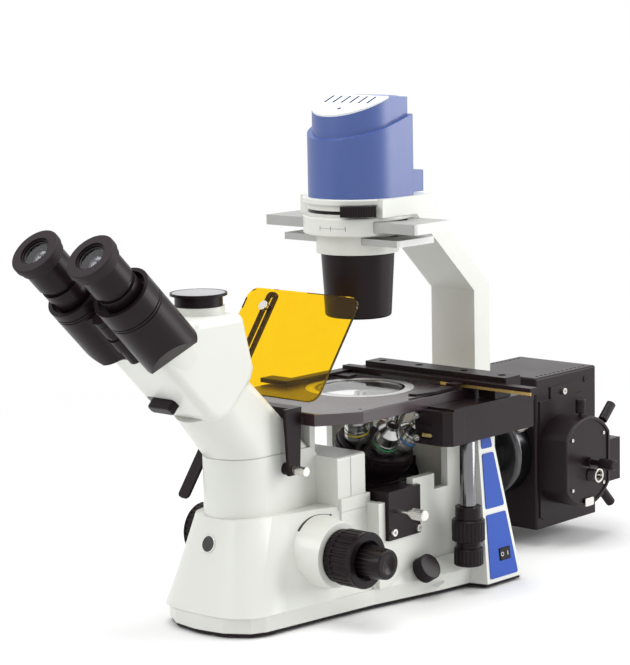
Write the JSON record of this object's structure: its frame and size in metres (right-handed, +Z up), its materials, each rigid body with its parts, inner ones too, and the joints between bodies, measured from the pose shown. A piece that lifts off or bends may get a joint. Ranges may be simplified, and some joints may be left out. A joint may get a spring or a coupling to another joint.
{
  "type": "inverted microscope",
  "caption": "Inverted microscope with tilted viewing tubes, overhead condenser and lamp, stage with specimen holder, turret below, and fluorescence lamp house.",
  "frame": {"origin": "on the bench under the feet, on the vertical optical axis of condenser and active objective", "axes": "X to the right of the user, Y from the user to the back, Z up"},
  "size_m": [0.2876, 0.7438, 0.491],
  "materials": {
    "blue_paint": "satin",
    "black_satin": "satin",
    "black_metal": "satin",
    "rubber_black": "matte",
    "nickel": "satin",
    "chrome": "polished",
    "aluminium": "satin",
    "cast_aluminium_white": "satin",
    "stage_grey": "satin",
    "brass": "satin",
    "amber": "gloss",
    "glass": "gloss",
    "board_green": "satin",
    "pale_plate": "satin"
  },
  "bodies": {
    "stand": {"main_body": "cast_aluminium_white", "bottom_plate": "black_metal", "feet": "rubber_black", "pillar_inlays": "blue_paint", "circuit_boards": "board_green", "column_arm": "cast_aluminium_white", "slider_housing": "cast_aluminium_white", "condenser_barrel": "black_metal", "light_path_glass": "glass", "lamp_housing": "blue_paint", "housing_vent": "pale_plate", "stage_plate": "stage_grey", "stage_insert": "stage_grey", "insert_glass": "glass", "stage_drive_box": "black_metal", "filter_module": "black_metal", "head": "cast_aluminium_white", "hinge_pin": "black_metal", "epi_tube": "chrome", "tube_screw": "nickel", "epi_lamp_house": "black_metal", "epi_lamp_module": "black_metal", "nickel_screws": "nickel", "shield_bracket": "black_metal", "focus_rail": "nickel"},
    "filter_slide": {"filter_slide": "aluminium"},
    "phase_slider": {"phase_slider": "aluminium"},
    "aperture_lever": {"aperture_lever": "black_satin"},
    "cross_carriage": {"guide_bar": "black_metal"},
    "side_carriage": {"specimen_holder": "black_metal", "slider_scale": "brass"},
    "holder_clamp": {"holder_clamp": "black_metal"},
    "stage_knob_upper": {"stage_knob_upper": "black_satin"},
    "stage_knob_lower": {"stage_knob_lower": "black_satin"},
    "nosepiece_carriage": {"nosepiece_carriage": "black_metal"},
    "turret": {"revolver": "black_metal", "objectives": "chrome"},
    "coarse_focus": {"coarse_knobs": "black_satin"},
    "fine_focus": {"fine_knobs": "black_satin"},
    "tension_ring": {"tension_ring": "black_satin"},
    "right_tube": {"tube_right": "black_metal"},
    "left_tube": {"tube_left": "black_metal"},
    "right_eyepiece": {"eyepiece_right": "black_metal", "eyecup_right": "rubber_black", "eye_lens_right": "glass"},
    "left_eyepiece": {"eyepiece_left": "black_metal", "eyecup_left": "rubber_black", "eye_lens_left": "glass"},
    "light_lever": {"light_lever": "black_satin"},
    "port_cap": {"port_cap": "black_satin"},
    "brightness_knob": {"brightness_knob": "black_satin"},
    "rocker_switch": {"rocker_switch": "black_satin"},
    "module_rod": {"module_rod": "nickel"},
    "shield": {"shield": "amber", "shield_screws": "nickel"},
    "strap_thumbscrew": {"strap_thumbscrew": "nickel"},
    "lamp_knob_top": {"lamp_knob_top": "nickel"},
    "lamp_knob_upper": {"lamp_knob_upper": "nickel"},
    "lamp_knob_lower": {"lamp_knob_lower": "nickel"},
    "lamp_focus_rod": {"lamp_focus_rod": "nickel"}
  },
  "joints": [
    {"name": "filter_slide_x", "type": "slide", "parent": "stand", "child": "filter_slide", "axis": [1, 0, 0], "range_m": [-0.045, 0.045]},
    {"name": "phase_slider_x", "type": "slide", "parent": "stand", "child": "phase_slider", "axis": [1, 0, 0], "range_m": [-0.035, 0.035]},
    {"name": "aperture_turn", "type": "hinge", "parent": "stand", "child": "aperture_lever", "pos_m": [0, 0, 0.3793], "axis": [0, 0, 1], "range_deg": [-55, 1]},
    {"name": "specimen_y", "type": "slide", "parent": "stand", "child": "cross_carriage", "axis": [0, 1, 0], "range_m": [-0.058, 0.02]},
    {"name": "specimen_x", "type": "slide", "parent": "cross_carriage", "child": "side_carriage", "axis": [1, 0, 0], "range_m": [-0.03, 0.04]},
    {"name": "clamp_swing", "type": "hinge", "parent": "side_carriage", "child": "holder_clamp", "pos_m": [0.082, 0.048, 0.202], "axis": [0, 0, 1], "range_deg": [-20, 25]},
    {"name": "upper_stage_knob_turn", "type": "hinge", "parent": "stand", "child": "stage_knob_upper", "pos_m": [0.1089, 0.034, 0.07], "axis": [0, 0, 1], "range_deg": [-525, 185]},
    {"name": "lower_stage_knob_turn", "type": "hinge", "parent": "stand", "child": "stage_knob_lower", "pos_m": [0.1089, 0.034, 0.04], "axis": [0, 0, 1], "range_deg": [-275, 363]},
    {"name": "nosepiece_z", "type": "slide", "parent": "stand", "child": "nosepiece_carriage", "axis": [0, 0, 1], "range_m": [-0.008, 0.0018]},
    {"name": "turret_turn", "type": "hinge", "parent": "nosepiece_carriage", "child": "turret", "pos_m": [0.01961, 0, 0.14647], "axis": [0.3584, 0, 0.9336], "continuous": true},
    {"name": "coarse_focus_turn", "type": "hinge", "parent": "stand", "child": "coarse_focus", "pos_m": [0, -0.125, 0.065], "axis": [1, 0, 0], "range_deg": [-77, 17.5]},
    {"name": "fine_focus_turn", "type": "hinge", "parent": "stand", "child": "fine_focus", "pos_m": [0, -0.125, 0.065], "axis": [1, 0, 0], "continuous": true},
    {"name": "tension_turn", "type": "hinge", "parent": "stand", "child": "tension_ring", "pos_m": [0.084, -0.125, 0.065], "axis": [1, 0, 0], "range_deg": [-60, 60]},
    {"name": "right_tube_swing", "type": "hinge", "parent": "stand", "child": "right_tube", "pos_m": [0, -0.3996, 0.3658], "axis": [0, -0.7071, 0.7071], "range_deg": [-18.3, 21.5]},
    {"name": "left_tube_swing", "type": "hinge", "parent": "stand", "child": "left_tube", "pos_m": [0, -0.3996, 0.3658], "axis": [0, -0.7071, 0.7071], "range_deg": [-21.6, 18.4]},
    {"name": "right_eyepiece_turn", "type": "hinge", "parent": "right_tube", "child": "right_eyepiece", "pos_m": [0.0356, -0.3913, 0.3741], "axis": [0, -0.7071, 0.7071], "continuous": true},
    {"name": "left_eyepiece_turn", "type": "hinge", "parent": "left_tube", "child": "left_eyepiece", "pos_m": [-0.0356, -0.3913, 0.3741], "axis": [0, -0.7071, 0.7071], "continuous": true},
    {"name": "light_lever_x", "type": "slide", "parent": "stand", "child": "light_lever", "axis": [1, 0, 0], "range_m": [-0.007, 0]},
    {"name": "port_cap_lift", "type": "slide", "parent": "stand", "child": "port_cap", "axis": [0, 0, 1], "range_m": [0, 0.016]},
    {"name": "brightness_turn", "type": "hinge", "parent": "stand", "child": "brightness_knob", "pos_m": [0.0872, -0.012, 0.0283], "axis": [0.8575, 0, 0.5145], "range_deg": [-140, 140]},
    {"name": "rocker_tilt", "type": "hinge", "parent": "stand", "child": "rocker_switch", "pos_m": [0.10903, 0.08521, 0.0302], "axis": [-0.1291, 0.0037, 0.9916], "range_deg": [-6, 6]},
    {"name": "module_rod_x", "type": "slide", "parent": "stand", "child": "module_rod", "axis": [1, 0, 0], "range_m": [0, 0.025]},
    {"name": "shield_slide", "type": "slide", "parent": "stand", "child": "shield", "axis": [0, 0.595, 0.8037], "range_m": [0, 0.0115]},
    {"name": "strap_thumbscrew_turn", "type": "hinge", "parent": "stand", "child": "strap_thumbscrew", "pos_m": [0.0425, -0.1485, 0.147], "axis": [1, 0, 0], "continuous": true},
    {"name": "lamp_knob_top_turn", "type": "hinge", "parent": "stand", "child": "lamp_knob_top", "pos_m": [0.076, 0.2686, 0.0902], "axis": [0, 0, 1], "continuous": true},
    {"name": "lamp_knob_upper_turn", "type": "hinge", "parent": "stand", "child": "lamp_knob_upper", "pos_m": [0.076, 0.2686, 0.0902], "axis": [0, 0.7314, 0.682], "continuous": true},
    {"name": "lamp_knob_lower_turn", "type": "hinge", "parent": "stand", "child": "lamp_knob_lower", "pos_m": [0.076, 0.2686, 0.0902], "axis": [0, 0.7071, -0.7071], "continuous": true},
    {"name": "lamp_focus_x", "type": "slide", "parent": "stand", "child": "lamp_focus_rod", "axis": [1, 0, 0], "range_m": [-0.003, 0.006]}
  ],
  "couplings": [
    {"joint": "upper_stage_knob_turn", "follows": "specimen_y", "rad_per_m": 157.08},
    {"joint": "lower_stage_knob_turn", "follows": "specimen_x", "rad_per_m": 157.08},
    {"joint": "coarse_focus_turn", "follows": "nosepiece_z", "rad_per_m": 166.67},
    {"joint": "left_tube_swing", "follows": "right_tube_swing", "ratio": -1}
  ]
}
